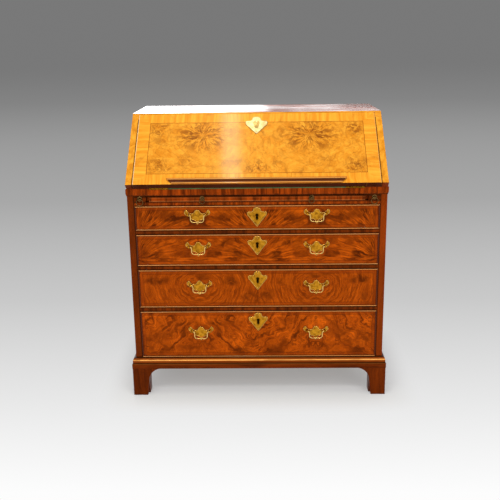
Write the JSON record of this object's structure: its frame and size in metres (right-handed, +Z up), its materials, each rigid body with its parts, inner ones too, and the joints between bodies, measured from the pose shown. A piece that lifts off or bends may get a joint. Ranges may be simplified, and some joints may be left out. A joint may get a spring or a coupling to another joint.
{
  "type": "writing bureau",
  "caption": "Walnut fall-front writing bureau on bracket feet, with graduated long drawers, lopers, a brushing slide and a fitted inside behind a sloping fall",
  "frame": {"origin": "on the floor, under the middle of the bounding box", "axes": "+X to the right as seen from the front, the front faces -Y, +Z up"},
  "size_m": [0.928, 0.5224, 1.0155],
  "materials": {
    "walnut": "straight-grained walnut, French polished",
    "burr_walnut": "book-matched burr walnut veneer, French polished",
    "oak": "plain oak, unpolished",
    "inner_walnut": "polished walnut",
    "brass": "lacquered brass with a worn patina",
    "green_leather": "dyed leather",
    "lock_steel": "plain steel"
  },
  "bodies": {
    "carcase": {"side_left": "walnut", "side_right": "walnut", "top_board": "walnut", "back_boards": "oak", "bottom_board": "oak", "drawer_rails": "walnut", "drawer_runners": "oak", "loper_shelf": "walnut", "writing_bed": "oak", "waist_moulding": "walnut", "base_moulding": "walnut", "foot_front_left": "walnut", "foot_front_right": "walnut", "foot_rear_left": "walnut", "foot_rear_right": "walnut", "pigeonhole_nest": "inner_walnut", "bed_hinges": "brass", "bed_lining": "green_leather"},
    "fall": {"fall_panel": "burr_walnut", "fall_clamps": "burr_walnut", "book_rest": "burr_walnut", "fall_lock": "lock_steel", "fall_escutcheon": "brass", "fall_hinges": "brass", "fall_lining": "green_leather"},
    "keyhole_drop": {"keyhole_cover": "brass"},
    "slide": {"brushing_slide": "walnut", "slide_rosettes": "brass"},
    "left_loper": {"loper_left": "walnut", "loper_left_rosette": "brass"},
    "left_loper_pull": {"loper_left_ring": "brass"},
    "right_loper": {"loper_right": "walnut", "loper_right_rosette": "brass"},
    "right_loper_pull": {"loper_right_ring": "brass"},
    "left_slide_pull": {"slide_left_ring": "brass"},
    "right_slide_pull": {"slide_right_ring": "brass"},
    "drawer_1": {"drawer_1_front": "burr_walnut", "drawer_1_box": "oak", "drawer_1_brasses": "brass"},
    "drawer_1_left_handle": {"drawer_1_bail_left": "brass"},
    "drawer_1_right_handle": {"drawer_1_bail_right": "brass"},
    "drawer_2": {"drawer_2_front": "burr_walnut", "drawer_2_box": "oak", "drawer_2_brasses": "brass"},
    "drawer_2_left_handle": {"drawer_2_bail_left": "brass"},
    "drawer_2_right_handle": {"drawer_2_bail_right": "brass"},
    "drawer_3": {"drawer_3_front": "burr_walnut", "drawer_3_box": "oak", "drawer_3_brasses": "brass"},
    "drawer_3_left_handle": {"drawer_3_bail_left": "brass"},
    "drawer_3_right_handle": {"drawer_3_bail_right": "brass"},
    "drawer_4": {"drawer_4_front": "burr_walnut", "drawer_4_box": "oak", "drawer_4_brasses": "brass"},
    "drawer_4_left_handle": {"drawer_4_bail_left": "brass"},
    "drawer_4_right_handle": {"drawer_4_bail_right": "brass"},
    "inner_drawer_1": {"small_drawer_1": "inner_walnut"},
    "inner_drawer_2": {"small_drawer_2": "inner_walnut"},
    "inner_drawer_3": {"small_drawer_3": "inner_walnut"},
    "inner_drawer_4": {"small_drawer_4": "inner_walnut"}
  },
  "joints": [
    {"name": "fall_hinge", "type": "hinge", "parent": "carcase", "child": "fall", "pos_m": [0, -0.24226, 0.777], "axis": [1, 0, 0], "range_deg": [0, 135.3]},
    {"name": "keyhole_drop_pivot", "type": "hinge", "parent": "fall", "child": "keyhole_drop", "pos_m": [0, -0.07275, 0.98358], "axis": [0, -0.7034, 0.7108], "range_deg": [-80, 80]},
    {"name": "left_loper_slide", "type": "slide", "parent": "carcase", "child": "left_loper", "axis": [0, -1, 0], "range_m": [0, 0.26]},
    {"name": "left_loper_pull_swing", "type": "hinge", "parent": "left_loper", "child": "left_loper_pull", "pos_m": [-0.4055, -0.24576, 0.7411], "axis": [-1, 0, 0], "range_deg": [0, 90]},
    {"name": "right_loper_slide", "type": "slide", "parent": "carcase", "child": "right_loper", "axis": [0, -1, 0], "range_m": [0, 0.26]},
    {"name": "right_loper_pull_swing", "type": "hinge", "parent": "right_loper", "child": "right_loper_pull", "pos_m": [0.4055, -0.24576, 0.7411], "axis": [-1, 0, 0], "range_deg": [0, 90]},
    {"name": "left_slide_pull_swing", "type": "hinge", "parent": "slide", "child": "left_slide_pull", "pos_m": [-0.189, -0.24576, 0.7411], "axis": [-1, 0, 0], "range_deg": [0, 60]},
    {"name": "right_slide_pull_swing", "type": "hinge", "parent": "slide", "child": "right_slide_pull", "pos_m": [0.189, -0.24576, 0.7411], "axis": [-1, 0, 0], "range_deg": [0, 60]},
    {"name": "brushing_slide_travel", "type": "slide", "parent": "carcase", "child": "slide", "axis": [0, 1, 0], "range_m": [-0.23, 0]},
    {"name": "drawer_1_travel", "type": "slide", "parent": "carcase", "child": "drawer_1", "axis": [0, -1, 0], "range_m": [0, 0.33]},
    {"name": "drawer_1_left_handle_swing", "type": "hinge", "parent": "drawer_1", "child": "drawer_1_left_handle", "pos_m": [-0.208, -0.24876, 0.6843], "axis": [-1, 0, 0], "range_deg": [0, 90]},
    {"name": "drawer_1_right_handle_swing", "type": "hinge", "parent": "drawer_1", "child": "drawer_1_right_handle", "pos_m": [0.208, -0.24876, 0.6843], "axis": [-1, 0, 0], "range_deg": [0, 90]},
    {"name": "drawer_2_travel", "type": "slide", "parent": "carcase", "child": "drawer_2", "axis": [0, -1, 0], "range_m": [0, 0.33]},
    {"name": "drawer_2_left_handle_swing", "type": "hinge", "parent": "drawer_2", "child": "drawer_2_left_handle", "pos_m": [-0.208, -0.24876, 0.5678], "axis": [-1, 0, 0], "range_deg": [0, 90]},
    {"name": "drawer_2_right_handle_swing", "type": "hinge", "parent": "drawer_2", "child": "drawer_2_right_handle", "pos_m": [0.208, -0.24876, 0.5678], "axis": [-1, 0, 0], "range_deg": [0, 90]},
    {"name": "drawer_3_travel", "type": "slide", "parent": "carcase", "child": "drawer_3", "axis": [0, -1, 0], "range_m": [0, 0.33]},
    {"name": "drawer_3_left_handle_swing", "type": "hinge", "parent": "drawer_3", "child": "drawer_3_left_handle", "pos_m": [-0.208, -0.24876, 0.4243], "axis": [-1, 0, 0], "range_deg": [0, 90]},
    {"name": "drawer_3_right_handle_swing", "type": "hinge", "parent": "drawer_3", "child": "drawer_3_right_handle", "pos_m": [0.208, -0.24876, 0.4243], "axis": [-1, 0, 0], "range_deg": [0, 90]},
    {"name": "drawer_4_travel", "type": "slide", "parent": "carcase", "child": "drawer_4", "axis": [0, -1, 0], "range_m": [0, 0.33]},
    {"name": "drawer_4_left_handle_swing", "type": "hinge", "parent": "drawer_4", "child": "drawer_4_left_handle", "pos_m": [-0.208, -0.24876, 0.2488], "axis": [-1, 0, 0], "range_deg": [0, 90]},
    {"name": "drawer_4_right_handle_swing", "type": "hinge", "parent": "drawer_4", "child": "drawer_4_right_handle", "pos_m": [0.208, -0.24876, 0.2488], "axis": [-1, 0, 0], "range_deg": [0, 90]},
    {"name": "inner_drawer_1_travel", "type": "slide", "parent": "carcase", "child": "inner_drawer_1", "axis": [0, -1, 0], "range_m": [0, 0.15]},
    {"name": "inner_drawer_2_travel", "type": "slide", "parent": "carcase", "child": "inner_drawer_2", "axis": [0, -1, 0], "range_m": [0, 0.15]},
    {"name": "inner_drawer_3_travel", "type": "slide", "parent": "carcase", "child": "inner_drawer_3", "axis": [0, -1, 0], "range_m": [0, 0.15]},
    {"name": "inner_drawer_4_travel", "type": "slide", "parent": "carcase", "child": "inner_drawer_4", "axis": [0, -1, 0], "range_m": [0, 0.15]}
  ]
}
